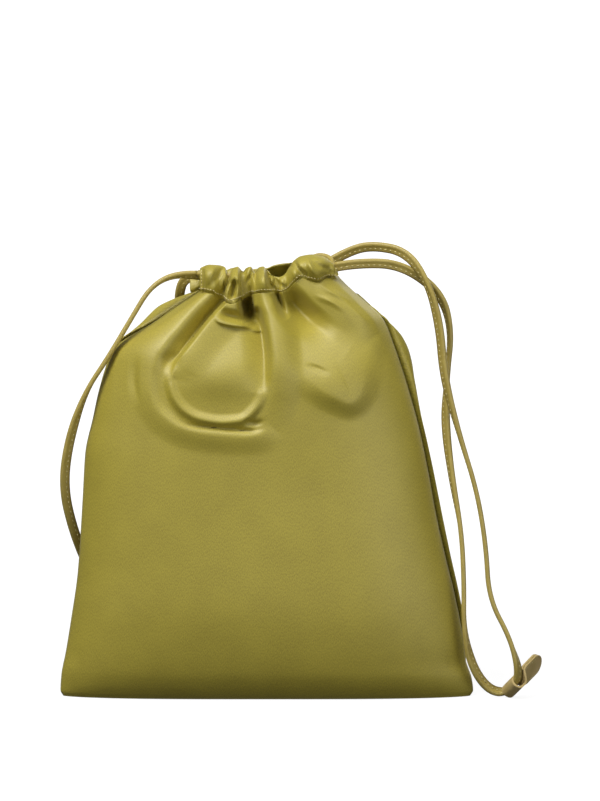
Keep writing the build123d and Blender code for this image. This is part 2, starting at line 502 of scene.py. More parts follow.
FRONT_FOLDS: tuple[Fold | Swell, ...] = (
    # The big fold under the left puff, and its hem, which runs round the hollow and back to the right.
    Fold(
        (
            (-30, 229), (-38, 220), (-47, 210), (-56, 199.5), (-61, 189), (-63.6, 178), (-63.6, 168),
            (-61, 158), (-56, 150),
        ),
        (5.0, 6.0, 6.6, 5.6, 4.2, 2.4, 1.2, 0.4, 0),
        10, 19, 2.2,
    ),
    Fold(
        (
            (-61, 192), (-63.4, 181), (-63, 171), (-59.8, 162.5), (-54, 156.3), (-46, 151.5),
            (-32.4, 148.3), (-11.4, 146.7), (-0.9, 148.3), (2.8, 152),
        ),
        (0, 0.8, 1.5, 1.9, 2.1, 2.2, 2.1, 1.9, 1.2, 0),
        4.6, 12, 1.7,
    ),
    # The deep valley between the left puff and the apron below the second one.
    Fold(
        (
            (-20, 230), (-22.4, 220.4), (-28.2, 214), (-34.5, 206.7), (-41.9, 197.2), (-47.1, 190.9),
            (-51, 187),
        ),
        (-10, -12, -11.5, -10.5, -8.5, -5, -1),
        2.0, 10.5, 0.85,
    ),
    Swell(-52, 187.6, -2.4, 5, 4.4),
    # The apron's own edge beside that valley.
    Fold(
        (
            (-19.5, 226), (-21.2, 221.5), (-27, 214), (-33.3, 206.5), (-40.6, 197.2), (-46, 190),
            (-49.5, 184), (-51, 178),
        ),
        (4.0, 5.0, 5.4, 5.2, 4.6, 3.6, 2.2, 0.6),
        17, 2.2, 1.6,
    ),
    # The apron hangs forward in its middle and tucks in below.
    Swell(-24, 180, 4.0, 25, 13),
    # The inner hanging fold, below the apron.
    Fold(
        (
            (-50.5, 186), (-52.9, 178.3), (-50.8, 169.9), (-46.1, 162.5), (-36.6, 156.7), (-24, 154.6),
            (-13.5, 155.7), (-7.2, 160.4), (-3, 166.7), (-0.7, 174),
        ),
        (0.4, 1.5, 2.1, 2.4, 2.5, 2.5, 2.4, 2.2, 1.6, 0.3),
        4.2, 4.2, 1.7,
    ),
    # The crease between the two hanging folds.
    Fold(
        ((-50, 157.5), (-41.9, 152.6), (-28, 151.4), (-17.7, 150.4), (-9.3, 149.6), (-2.5, 150.6)),
        (0, -1.8, -2.6, -2.6, -2.2, -0.3),
        2.0, 1.7, 1.2,
    ),
    Fold(((-11, 154.5), (-6, 153.5), (-1, 155)), (-0.6, -2.0, -0.2), 3, 2.5, 1.4),
    # The tube under the middle puff, which widens as it goes down.
    Fold(
        (
            (-0.5, 229), (0.8, 221.5), (3.2, 211), (5.4, 199), (6.8, 188), (7, 177), (5, 166), (1, 157),
            (-3, 150),
        ),
        (5.0, 6.2, 7.0, 6.4, 5.0, 3.4, 1.8, 0.6, 0),
        14, 8.0, 2.2,
    ),
    # The black hollow left of the middle tube.
    Fold(
        ((-10.5, 233), (-11, 226), (-10.6, 218), (-9.4, 212), (-7.6, 208)),
        (-14, -20, -21, -17, -4),
        4.6, 5.2, 2.0,
    ),
    # Where the tube overhangs the apron.
    Fold(
        ((-5.6, 213), (-3.8, 207), (-2.1, 200.5), (-1.1, 189), (-1.1, 179), (-2.6, 170)),
        (-9.5, -9.0, -7.5, -5.4, -3.0, 0),
        4.4, 13, 1.4,
    ),
    # The valley right of the tube, opening into a soft hollow.
    Fold(
        ((4.5, 231), (5.4, 224.5), (7.4, 218.5), (9.4, 214), (12.5, 210)),
        (-10, -14, -13, -8, 0),
        3.4, 3.6, 1.1,
    ),
    Fold(
        ((9, 224), (16, 216), (22.5, 209.5), (29.5, 204), (37, 198.5), (45, 193)),
        (-6.0, -14.0, -12.0, -5.0, -1.2, 0),
        10, 13, 1.6,
    ),
    # The broad slope under the right puff, and its lower end, a tongue with a clear brim.
    Fold(
        ((22, 232), (33, 225.5), (44, 218), (54, 210.5), (61, 201)),
        (3.0, 4.6, 5.2, 4.4, 1.5),
        12, 15, 1.9,
    ),
    Fold(
        (
            (0, 192), (10, 187), (21, 179.5), (29.6, 172.6), (38, 167.8), (45.4, 165), (50.7, 169),
            (53, 176.2), (54.5, 185), (57, 195), (60, 206),
        ),
        (0, 0.4, 1.3, 2.1, 2.6, 2.7, 2.3, 1.8, 1.2, 0.5, 0),
        18, 11, 1.6,
    ),
    Swell(38, 178, 3.8, 21, 15),
    # A small lip and the dimple above it on the apron.
    Fold(
        ((-28.2, 211.4), (-25, 208.3), (-18.7, 206.7), (-11.4, 205.6), (-5, 203)),
        (0.2, 2.2, 3.0, 3.0, 1.6),
        5, 1.7, 1.35,
    ),
    Fold(((-25, 213.5), (-20, 211.5), (-14, 210)), (-1.4, -4.6, -4.4), 4.5, 3.2, 1.8),
    # Short wrinkles below the right puff.
    Fold(((30, 227.5), (38, 223.5), (46, 219)), (0.3, 1.4, 0.2), 2.2, 2.6, 1.4),
    Fold(((27, 222.5), (35, 219.5), (43, 214.5)), (0.2, 1.2, 0.2), 2.2, 3.0, 1.4),
    Fold(((44, 218), (50, 213), (55, 208)), (0.2, 0.8, 0.2), 2.5, 3.0, 1.4),
    Fold(((21, 186), (28, 183.6), (35, 180.5)), (0, -1.1, 0), 2.2, 3.6, 1.4),
    # Faint creases and waves in the flat of the face.
    Fold(((-70, 190), (-71.5, 177), (-69.5, 163)), (0, -1.2, 0), 3, 5, 1.5),
    Fold(((100, 24), (106, 19.5), (110, 21)), (0, -1.8, -2.8), 5, 7, 1.6),
    Fold(((-113, 30), (-108, 24), (-103, 20)), (-2.4, -1.6, 0), 6, 5, 1.6),
    Swell(-62, 96, 0.9, 18, 46),
    Swell(20, 120, -0.8, 26, 20),
    Swell(62, 84, 1.0, 22, 40),
    Swell(-20, 60, 0.8, 30, 26),
)

CASING_FOLDS: tuple[Fold | Swell, ...] = (
    # The left puff: a flat facet at its end, then a fold that runs down to the stitch row.
    Fold(((-34.2, 239), (-35, 233), (-36.6, 227)), (-1.2, -2.0, -1.0), 1.6, 2.8, 1.3),
    Fold(((-22.8, 238), (-26.4, 232.4), (-31.5, 226.4)), (-1.4, -3.0, -1.0), 2.0, 5.0, 1.3),
    Fold(((-24, 229), (-21.4, 234), (-20.2, 237)), (1.0, 1.6, 0.6), 1.2, 2.2, 1.4),
    Fold(((-20.4, 237), (-20.8, 232), (-22.2, 226), (-24.5, 222)), (-5.0, -8.5, -9.0, -6.5), 1.7, 2.4, 1.2),
    # The second puff arches over a dark hollow.
    Fold(((-17.6, 231.5), (-17.6, 228), (-18.4, 222.5)), (-1.0, -8.5, -9.0), 3.4, 3.2, 1.7),
    Fold(
        ((-20.4, 225), (-19.6, 229.4), (-17.2, 232.8), (-14.8, 229.4), (-14, 225)),
        (0.6, 1.4, 1.8, 1.4, 0.6),
        1.2, 1.4, 1.5,
    ),
    # Two thin lips beside it.
    Fold(((-13.4, 237), (-14.2, 231), (-13, 224)), (-4.0, -6.0, -6.0), 1.0, 1.0, 1.1),
    Fold(((-11.3, 237), (-12, 231), (-11.2, 224)), (-4.0, -6.0, -6.0), 1.0, 1.2, 1.1),
    Fold(((-7.2, 237), (-8.6, 232.6), (-10.5, 228), (-10, 223)), (-1.6, -3.0, -6.0, -9.0), 1.2, 2.4, 1.2),
    # The black gap at the right of the middle puff.
    Fold(((0.6, 238), (1.4, 232), (4.2, 224)), (-5.0, -8.0, -9.0), 2.0, 2.4, 1.2),
    Fold(((3.6, 233.5), (6.5, 229), (11, 226.5)), (-0.6, -2.4, -0.8), 1.6, 2.4, 1.4),
    # The right puff with its S-shaped crease.
    Fold(((11, 240), (13, 238.5), (15.5, 237.4)), (-2.4, -3.6, -0.6), 1.4, 1.6, 1.2),
    Fold(((14.6, 243), (17, 238), (21.5, 233.6)), (-0.8, -4.4, -4.2), 1.8, 3.8, 1.3),
    Fold(((22.4, 242), (24.6, 237.4), (27.5, 232.8)), (1.0, 2.6, 1.6), 2.6, 2.4, 1.5),
    Fold(((25.6, 240.4), (29.4, 238.6), (33, 237)), (-0.8, -2.6, -1.4), 2.2, 2.2, 1.4),
    Swell(26.3, 230, -2.4, 2.6, 1.8),
    Fold(((32, 234.6), (35.5, 233.4), (38, 233.6)), (0.4, 1.4, 0.8), 1.6, 1.4, 1.3),
)

BACK_FOLDS: tuple[Fold | Swell, ...] = (
    Fold(
        ((30, 228), (38, 214), (50, 198), (58, 178), (56, 160), (44, 150), (24, 147)),
        (4, 4.4, 4, 3.2, 2.6, 2, 0),
        9, 11, 1.8,
    ),
    Fold(
        ((14, 228), (15, 212), (13, 194), (8, 176), (-4, 163), (-20, 158)),
        (4.4, 4.6, 4, 3, 2.2, 0),
        7, 8, 1.8,
    ),
    Fold(((-6, 228), (-9, 214), (-12, 200), (-14, 184)), (4, 4, 2.6, 0), 6, 7, 1.8),
    Fold(
        ((-26, 228), (-36, 212), (-50, 196), (-60, 178), (-60, 160), (-48, 149), (-28, 145)),
        (4.2, 4.4, 4, 3.2, 2.6, 2, 0),
        11, 9, 1.8,
    ),
    Fold(((22, 230), (25, 216), (30, 202), (34, 190)), (-9, -8, -5, 0), 4, 9, 1.4),
    Fold(((4, 230), (3, 217), (0, 203), (-3, 192)), (-9, -8, -5, 0), 8, 4, 1.4),
    Fold(((-16, 230), (-19, 217), (-26, 203), (-34, 192)), (-9, -8, -5, 0), 4, 9, 1.4),
)


# ---- stitches ------------------------------------------------------------------------------------


@dataclass(frozen=True)
class StitchRow:
    """A row of stitches: points along the cloth and the way out of the cloth at each, in millimetres."""

    points: np.ndarray
    outward: np.ndarray


@dataclass
class StitchMaker:
    """Sews rows of stitches: one small rounded stitch after another along each row."""

    thread: bpy.types.Material
    length: float = 2.0
    width: float = 0.85
    rise: float = 0.9
    unevenness: float = 0.08
    seed: int = 11

    def tree(self) -> bpy.types.NodeTree:
        """Build the node tree that puts a stitch at every step along each row."""
        tree = bpy.data.node_groups.new("stitch_rows", "GeometryNodeTree")
        tree.interface.new_socket("Geometry", in_out="INPUT", socket_type="NodeSocketGeometry")
        for name in ("Pitch", "Length", "Width", "Rise", "Unevenness"):
            tree.interface.new_socket(name, in_out="INPUT", socket_type="NodeSocketFloat")
        tree.interface.new_socket("Seed", in_out="INPUT", socket_type="NodeSocketInt")
        tree.interface.new_socket("Geometry", in_out="OUTPUT", socket_type="NodeSocketGeometry")
        given = add_node(tree, "NodeGroupInput").outputs
        curve = add_node(tree, "GeometryNodeMeshToCurve", {}, {"Mesh": given["Geometry"]})
        steps = add_node(
            tree,
            "GeometryNodeResampleCurve",
            {"mode": "LENGTH"},
            {"Curve": curve.outputs[0], "Length": given["Pitch"]},
        )
        outward = add_node(
            tree, "GeometryNodeInputNamedAttribute", {"data_type": "FLOAT_VECTOR"}, {"Name": OUTWARD}
        )
        along = add_node(tree, "GeometryNodeInputTangent")
        first = add_node(
            tree,
            "FunctionNodeAlignRotationToVector",
            {"axis": "X", "pivot_axis": "AUTO"},
            {"Vector": along.outputs[0]},
        )
        upright = add_node(
            tree,
            "FunctionNodeAlignRotationToVector",
            {"axis": "Z", "pivot_axis": "X"},
            {"Rotation": first.outputs[0], "Vector": outward.outputs[0]},
        )
        size = add_node(
            tree,
            "ShaderNodeCombineXYZ",
            {},
            {"X": given["Length"], "Y": given["Width"], "Z": given["Rise"]},
        )
        low = add_node(tree, "ShaderNodeMath", {"operation": "SUBTRACT"}, {0: 1.0, 1: given["Unevenness"]})
        high = add_node(tree, "ShaderNodeMath", {"operation": "ADD"}, {0: 1.0, 1: given["Unevenness"]})
        vary = add_node(
            tree,
            "FunctionNodeRandomValue",
            {"data_type": "FLOAT"},
            {"Min": low.outputs[0], "Max": high.outputs[0], "Seed": given["Seed"]},
        )
        scale = add_node(
            tree,
            "ShaderNodeVectorMath",
            {"operation": "SCALE"},
            {0: size.outputs[0], "Scale": vary.outputs["Value"]},
        )
        ball = add_node(
            tree, "GeometryNodeMeshUVSphere", {}, {"Segments": 8, "Rings": 5, "Radius": 0.5}
        )
        sewn = add_node(
            tree,
            "GeometryNodeInstanceOnPoints",
            {},
            {
                "Points": steps.outputs[0],
                "Instance": ball.outputs["Mesh"],
                "Rotation": upright.outputs[0],
                "Scale": scale.outputs[0],
            },
        )
        real = add_node(tree, "GeometryNodeRealizeInstances", {}, {0: sewn.outputs[0]})
        dressed = add_node(
            tree, "GeometryNodeSetMaterial", {}, {"Geometry": real.outputs[0], "Material": self.thread}
        )
        add_node(tree, "NodeGroupOutput", {}, {0: dressed.outputs[0]})
        return tree

    def sew(self, name: str, rows: list[StitchRow], pitch: float, scale: float = 1.0) -> bpy.types.Object:
        """Sew rows of stitches and return them as one plain mesh.

        Args:
            name: The piece's name.
            rows: The rows to sew.
            pitch: Distance from a stitch to the next, in millimetres.
            scale: Size of these stitches beside the usual ones.

        Returns:
            The stitches.
        """
        points = np.concatenate([row.points for row in rows]) * MM
        edges, start = [], 0
        for row in rows:
            edges += [(start + i, start + i + 1) for i in range(len(row.points) - 1)]
            start += len(row.points)
        mesh = bpy.data.meshes.new(name)
        mesh.from_pydata(points.tolist(), edges, [])
        outward = mesh.attributes.new(OUTWARD, "FLOAT_VECTOR", "POINT")
        outward.data.foreach_set("vector", np.concatenate([row.outward for row in rows]).ravel())
        guide = bpy.data.objects.new(name + "_guide", mesh)
        bpy.context.scene.collection.objects.link(guide)
        tree = bpy.data.node_groups.get("stitch_rows") or self.tree()
        modifier = guide.modifiers.new("stitches", "NODES")
        modifier.node_group = tree
        values = {
            "Pitch": pitch * MM,
            "Length": self.length * scale * MM,
            "Width": self.width * scale * MM,
            "Rise": self.rise * scale * MM,
            "Unevenness": self.unevenness,
            "Seed": self.seed,
        }
        for item in tree.interface.items_tree:
            if item.in_out == "INPUT" and item.name in values:
                modifier[item.identifier] = values[item.name]
        bpy.context.view_layer.update()
        evaluated = guide.evaluated_get(bpy.context.evaluated_depsgraph_get())
        sewn = bpy.data.meshes.new_from_object(evaluated)
        sewn.name = name
        sewn.polygons.foreach_set("use_smooth", [True] * len(sewn.polygons))
        bpy.data.objects.remove(guide)
        piece = bpy.data.objects.new(name, sewn)
        bpy.context.scene.collection.objects.link(piece)
        return piece


# ---- drawstrings ---------------------------------------------------------------------------------


@dataclass(frozen=True)
class StrapTurn:
    """Which way the strap's bead faces beside one point of its route."""

    knot: int
    bead: Point


@dataclass
class StrapPath:
    """The line that a strap follows, and how it is turned along it, in millimetres."""

    name: str
    knots: tuple[Point, ...]
    turns: tuple[StrapTurn, ...]
    steps: int = 10

    def line(self) -> np.ndarray:
        """Points of the smooth line that the strap's knots pull into shape."""
        curve = bpy.data.curves.new(self.name + "_route", "CURVE")
        curve.dimensions = "3D"
        spline = curve.splines.new("NURBS")
        spline.points.add(len(self.knots) - 1)
        for point, knot in zip(spline.points, self.knots):
            point.co = (*(c * MM for c in knot), 1.0)
        spline.order_u = 3
        spline.use_endpoint_u = True
        spline.resolution_u = self.steps
        guide = bpy.data.objects.new(self.name + "_route", curve)
        bpy.context.scene.collection.objects.link(guide)
        mesh = bpy.data.meshes.new_from_object(guide)
        points = np.empty(len(mesh.vertices) * 3)
        mesh.vertices.foreach_get("co", points)
        bpy.data.objects.remove(guide)
        bpy.data.meshes.remove(mesh)
        return points.reshape(-1, 3) / MM

    def frames(self, line: np.ndarray) -> tuple[np.ndarray, np.ndarray, np.ndarray]:
        """Directions along the strap, towards its bead and out of its face, at each point of the line."""
        along = np.gradient(line, axis=0)
        along /= np.linalg.norm(along, axis=1)[:, None]
        plain = [np.cross(along[0], (0.0, 1.0, 0.0))]
        for i in range(1, len(line)):
            carried = plain[-1] - along[i] * np.dot(plain[-1], along[i])
            plain.append(carried / np.linalg.norm(carried))
        plain = np.array(plain)
        beside = np.cross(along, plain)
        places, angles = [], []
        for turn in self.turns:
            place = int(np.argmin(np.linalg.norm(line - np.array(self.knots[turn.knot]), axis=1)))
            angle = math.atan2(np.dot(turn.bead, beside[place]), np.dot(turn.bead, plain[place]))
            if angles:
                angle += math.tau * round((angles[-1] - angle) / math.tau)
            places.append(float(place))
            angles.append(angle)
        twist = through(tuple(zip(places, angles)), np.arange(len(line), dtype=float))[:, None]
        bead = plain * np.cos(twist) + beside * np.sin(twist)
        return along, bead, np.cross(along, bead)


@dataclass
class Drawstring:
    """One leather drawstring: a strip folded round a core and stitched, so it has a bead and a flange."""

    hand: Hand
    loop: StrapPath
    run: StrapPath
    leather: bpy.types.Material
    stitches: StitchMaker
    length: float
    bead_radius: float = 1.35
    flange_half: float = 0.72
    width: float = 5.4
    stitch_pitch: float = 3.0
    stitch_place: float = 0.66
    stitch_scale: float = 0.7

    @property
    def body(self) -> str:
        """The body that the drawstring moves with."""
        return f"{self.hand.name.lower()}_drawstring"

    def section(self) -> np.ndarray:
        """The strap's section: distance towards the bead, out of the face, and painted shade towards the cut
        edge.
        """
        centre = self.width / 2 - self.bead_radius
        points = []
        neck = math.asin(self.flange_half / self.bead_radius) + 0.25
        for angle in np.linspace(math.pi - neck, -(math.pi - neck), 13):
            points.append(
                (centre + self.bead_radius * math.cos(angle), self.bead_radius * math.sin(angle), 0.0)
            )
        edge = -self.width / 2
        corner = 0.3
        # The third value is painted shade, darkest on the cut edge.
        for across, out, shade in (
            (centre - 1.9, -self.flange_half, 0.1),
            (edge + 1.0, -self.flange_half, 0.25),
            (edge + corner, -self.flange_half + 0.08, 0.8),
            (edge, -self.flange_half + corner, 1.0),
            (edge, self.flange_half - corner, 1.0),
            (edge + corner, self.flange_half - 0.08, 0.8),
            (edge + 1.0, self.flange_half, 0.25),
            (centre - 1.9, self.flange_half, 0.1),
        ):
            points.append((across, out, shade))
        return np.array(points)

    def strap(self, name: str, path: StrapPath) -> tuple[bpy.types.Object, np.ndarray, list[StitchRow]]:
        """Make one length of strap; returns it with its centreline and its rows of stitches."""
        line = path.line()
        _, bead, face = path.frames(line)
        section = self.section()
        rings = (
            line[:, None, :]
            + bead[:, None, :] * section[None, :, 0, None]
            + face[:, None, :] * section[None, :, 1, None]
        )
        around = section.shape[0]
        faces = grid_faces(len(line), around, closed=True)
        faces.append(tuple(range(around))[::-1])
        faces.append(tuple(range((len(line) - 1) * around, len(line) * around)))
        strap = make_piece(name, rings.reshape(-1, 3) * MM, faces, self.leather)
        # Painted shade that darkens the strap towards its cut edge.
        shades = strap.data.attributes.new(EDGE, "FLOAT", "POINT")
        shades.data.foreach_set("value", np.tile(section[:, 2], len(line)))
        place = self.width * (0.5 - self.stitch_place)
        rows = [
            StitchRow(line + bead * place + face * self.flange_half * side, face * side) for side in (1, -1)
        ]
        return strap, line * MM, rows

    def build(self, on_the_strap: list[bpy.types.Object]) -> list[bpy.types.Object]:
        """Make the free loop, the length inside the casings and their stitches.

        Args:
            on_the_strap: The pieces that hang on the loop; not used.

        Returns:
            The drawstring's pieces.
        """
        loop, centre, loop_rows = self.strap(f"{self.body}_free_loop", self.loop)
        run, _, _ = self.strap(f"{self.body}_casing_length", self.run)
        sewn = self.stitches.sew(
            f"{self.body}_strap_stitches", loop_rows, self.stitch_pitch, self.stitch_scale
        )
        for piece in (loop, run, sewn):
            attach(piece, self.body)
        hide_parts(f"{self.body}_loop")
        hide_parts(f"{self.body}_run")
        return [loop, run, sewn]


@dataclass
class PullTab:
    """A strip of leather folded round a drawstring's free end, with its two halves laid together."""

    hand: Hand
    place: Point
    strap_axis: Point
    reach_hint: Point
    leather: bpy.types.Material
    stitches: StitchMaker
    width: float = 12.0
    reach: float = 27.0
    leather_thickness: float = 1.15
    twist: float = 36.0
    stitch_inset: float = 1.4
    stitch_pitch: float = 1.5
    stitch_scale: float = 0.5
    # The stitches run between these two places along each half, counted in steps from the tip.
    stitch_from: int = 10
    stitch_to: int = 58
    # Half of the fold: distance from the strap's axis along the tab, and out from its middle plane.
    fold: Knots = (
        (27.0, 0.8), (21.0, 0.7), (14.0, 0.68), (9.5, 0.72), (6.6, 1.5), (4.2, 2.75), (1.6, 3.5),
        (-1.4, 3.35), (-3.4, 1.95), (-4.0, 0.0),
    )

    @property
    def body(self) -> str:
        """The body that the tab moves with."""
        return f"{self.hand.name.lower()}_tab"

    def build(self) -> list[bpy.types.Object]:
        """Make the tab and its stitches."""
        axis = np.array(self.strap_axis)
        reach = np.array(self.reach_hint) - axis * np.dot(self.reach_hint, axis)
        reach /= np.linalg.norm(reach)
        out = np.cross(axis, reach)
        half = np.array(self.fold)
        knots = np.concatenate([half, half[-2::-1] * (1, -1)])
        steps = np.arange(len(knots), dtype=float)
        fine = np.linspace(0, len(knots) - 1, 12 * (len(knots) - 1) + 1)
        far = through(tuple(zip(steps, knots[:, 0])), fine)
        off = through(tuple(zip(steps, knots[:, 1])), fine)
        travelled = np.concatenate([[0], np.cumsum(np.hypot(np.diff(far), np.diff(off)))])
        to_tip = np.minimum(travelled, travelled[-1] - travelled)
        tip = self.width / 2
        widths = np.where(
            to_tip < tip, np.sqrt(np.maximum(tip**2 - (tip - np.maximum(to_tip, 0.06)) ** 2, 0.0)), tip
        )
        turn = np.radians(self.twist) * smoothstep((far - 2) / 10)
        across = np.linspace(-1, 1, 17)
        points = []
        for i in range(len(fine)):
            wide = axis * math.cos(turn[i]) + out * math.sin(turn[i])
            thick = out * math.cos(turn[i]) - axis * math.sin(turn[i])
            middle = np.array(self.place) + reach * far[i] + thick * off[i]
            points.append([middle + wide * widths[i] * share for share in across])
        points = np.array(points)
        tab = make_piece(
            f"{self.body}_folded_leather",
            points.reshape(-1, 3) * MM,
            grid_faces(len(fine), len(across), flip=True),
            self.leather,
        )
        solid = tab.modifiers.new("leather thickness", "SOLIDIFY")
        solid.thickness = self.leather_thickness * MM
        solid.offset = 0.0
        bevel = tab.modifiers.new("rubbed edges", "BEVEL")
        bevel.width = 0.22 * MM
        bevel.segments = 2
        bevel.limit_method = "ANGLE"
        rows = []
        inside = 1 - 2 * self.stitch_inset / self.width
        for side in (1, -1):
            near, end = self.stitch_from, self.stitch_to
            lower = slice(near, end) if side == 1 else slice(len(fine) - end, len(fine) - near)
            for edge in (inside, -inside):
                line = []
                for i in range(len(fine))[lower]:
                    wide = axis * math.cos(turn[i]) + out * math.sin(turn[i])
                    thick = out * math.cos(turn[i]) - axis * math.sin(turn[i])
                    lift = off[i] + side * self.leather_thickness / 2
                    line.append(
                        np.array(self.place) + reach * far[i] + thick * lift + wide * widths[i] * edge
                    )
                thicks = np.array([out * math.cos(t) - axis * math.sin(t) for t in turn[lower]]) * side
                rows.append(StitchRow(np.array(line), thicks))
        sewn = self.stitches.sew(f"{self.body}_stitches", rows, self.stitch_pitch, self.stitch_scale)
        for piece in (tab, sewn):
            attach(piece, self.body)
        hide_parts(f"{self.hand.name.lower()}_pull_tab")
        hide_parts(f"{self.hand.name.lower()}_tab_stitching")
        return [tab, sewn]


RIGHT_TAB_TOP = (139.8, -18.2, 12.2)
RIGHT_TAB_FOOT = (132.4, -5.8, 2.3)
RIGHT_LOOP = StrapPath(
    "right_loop",
    (
        (38, -7.75, 237.6), (50, -7.75, 239.8), (74, -7, 239),
        (95.5, -4, 223.5), (101.5, -3, 203), (99, -3, 178),
        (98, -4, 152), (101.5, -8, 122), (107, -12, 92), (108.5, -15, 64), (108.5, -16, 40), (112.5, -14, 19),
        (122, -9, 4.5), RIGHT_TAB_FOOT, RIGHT_TAB_TOP, (134, -18, 34), (122, -16, 56), (120.5, -14, 84),
        (115.5, -13, 114), (106, -12, 144), (97, -13, 177),
        (94.8, -13, 206), (88.5, -12, 228.5), (77, -6, 245.8),
        (58, 3, 249), (45, 6.8, 245.5), (35, 7.6, 239.5),
    ),
    (
        StrapTurn(0, (0, 0, 1)), StrapTurn(1, (0, 0, 1)), StrapTurn(2, (0.1, 0, 1)),
        StrapTurn(3, (0.8, -0.5, 0.5)), StrapTurn(4, (0.5, -1, 0)), StrapTurn(5, (0.3, -1, 0)),
        StrapTurn(6, (0.9, -0.7, 0)), StrapTurn(7, (0.6, -1, 0)), StrapTurn(8, (0.1, -1, 0)),
        StrapTurn(10, (-0.3, -1, 0)), StrapTurn(11, (-0.8, -0.6, -0.5)), StrapTurn(12, (-0.3, -0.3, -1)),
        StrapTurn(13, (-0.5, -0.4, -0.6)), StrapTurn(14, (-0.8, -0.6, -0.1)), StrapTurn(15, (-0.1, -1, 0)),
        StrapTurn(17, (0, -1, 0)), StrapTurn(19, (0.3, -1, 0)), StrapTurn(20, (0.9, -0.8, 0)),
        StrapTurn(21, (0.95, -0.7, 0.1)), StrapTurn(22, (0.6, -0.9, 0.3)), StrapTurn(23, (0.3, -0.2, 1)),
        StrapTurn(24, (0, -0.3, 1)), StrapTurn(25, (0.3, -0.2, 1)), StrapTurn(26, (0, 0, 1)),
    ),
)
RIGHT_RUN = StrapPath(
    "right_run",
    (
        (38, -7.75, 237.6), (30, -7.7, 236.5), (21, -7.2, 235), (13, -7.2, 230.4), (5, -7.2, 229.4),
        (-5, -7.2, 230.8), (-14, -7.2, 232.2), (-24, -7.2, 232.8), (-31, -7.5, 232.8), (-34.5, -4, 232.8),
        (-34.5, 4, 232.8), (-31, 7.5, 232.8), (-22, 7.2, 232.8), (-6, 7.2, 232.4), (8, 7.2, 233),
        (20, 7.4, 235), (28, 7.6, 236.5), (35, 7.6, 239.5),
    ),
    (
        StrapTurn(0, (0, 0, 1)), StrapTurn(2, (0, -0.7, 1)), StrapTurn(4, (0, -1, 0.1)),
        StrapTurn(6, (0, -1, 0.1)), StrapTurn(8, (0, -1, 0.1)), StrapTurn(9, (-1, -0.2, 0.1)),
        StrapTurn(10, (-1, 0.2, 0.1)), StrapTurn(12, (0, 1, 0.1)), StrapTurn(15, (0, 0.7, 1)),
        StrapTurn(17, (0, 0, 1)),
    ),
)
LEFT_TAB_TOP = (-77.2, 41.8, 12.4)
LEFT_TAB_FOOT = (-66.3, 50.6, 2.3)
LEFT_LOOP = StrapPath(
    "left_loop",
    (
        (-38, -7.75, 233), (-49, -7.75, 234), (-63, -9, 227),
        (-74, -11, 209), (-86, -12, 189), (-99, -11, 169),
        (-108, -9, 144), (-112, -4, 117), (-107, 6, 91), (-98, 19, 66),
        (-91, 29.5, 44), (-84, 36.4, 25), LEFT_TAB_TOP,
        LEFT_TAB_FOOT, (-54, 54.5, 2.6), (-38, 57.5, 2.8), (-21, 57, 5),
        (-9, 51, 19), (-4, 45, 44), (-4, 41, 75),
        (-10, 40, 107), (-17, 39, 138), (-24, 36, 167), (-34, 31, 192), (-48, 24, 207), (-48.5, 14, 221),
        (-45.5, 8, 231), (-38, 7.75, 232.3),
    ),
    (
        StrapTurn(0, (0, -0.6, 1)), StrapTurn(1, (0, -1, 0.6)), StrapTurn(2, (0, -1, 0.3)),
        StrapTurn(4, (0, -1, 0)), StrapTurn(5, (-0.3, -1, 0)), StrapTurn(6, (-1, -0.5, 0)),
        StrapTurn(7, (-1, -0.3, 0)), StrapTurn(8, (-1, -0.4, 0)), StrapTurn(10, (-1, -0.2, 0)),
        StrapTurn(12, (-0.35, -0.4, -0.85)), StrapTurn(13, (-0.42, -0.39, -0.82)),
        StrapTurn(14, (-0.2, -1, -0.3)), StrapTurn(16, (0, -1, -0.1)), StrapTurn(18, (-0.4, -1, 0)),
        StrapTurn(20, (-0.5, -1, 0)), StrapTurn(23, (-0.5, -1, 0.2)), StrapTurn(25, (-0.9, -0.3, 0.4)),
        StrapTurn(26, (-0.4, 0, 1)), StrapTurn(27, (0, 0, 1)),
    ),
)
LEFT_RUN = StrapPath(
    "left_run",
    (
        (-38, -7.75, 233), (-28, -7.6, 232.4), (-15, -7.3, 228.4), (-2, -7.2, 227), (6, -7.2, 226.8),
        (14, -7.2, 228.2), (23, -7.2, 231.5), (31, -6.5, 234.5), (35.5, -4, 238), (34.5, 1, 241),
        (29.5, 5, 242.4), (24, 7, 240.5), (17, 7.4, 235), (8, 7.4, 230), (-6, 7.4, 230), (-24, 7.6, 231.8),
        (-38, 7.75, 232.3),
    ),
    (
        StrapTurn(0, (0, -0.6, 1)), StrapTurn(1, (0, -0.6, 1)), StrapTurn(3, (0, -1, 0.1)),
        StrapTurn(6, (0, -1, 0.2)), StrapTurn(8, (0.7, -0.6, 0.3)), StrapTurn(9, (0.6, 0, 1)),
        StrapTurn(10, (0.3, 0.2, 1)), StrapTurn(12, (0.3, 0.8, 0.4)), StrapTurn(13, (0, 1, 0.1)),
        StrapTurn(15, (0, 0.1, 1)), StrapTurn(16, (0, 0, 1)),
    ),
)


# ---- the sack ------------------------------------------------------------------------------------


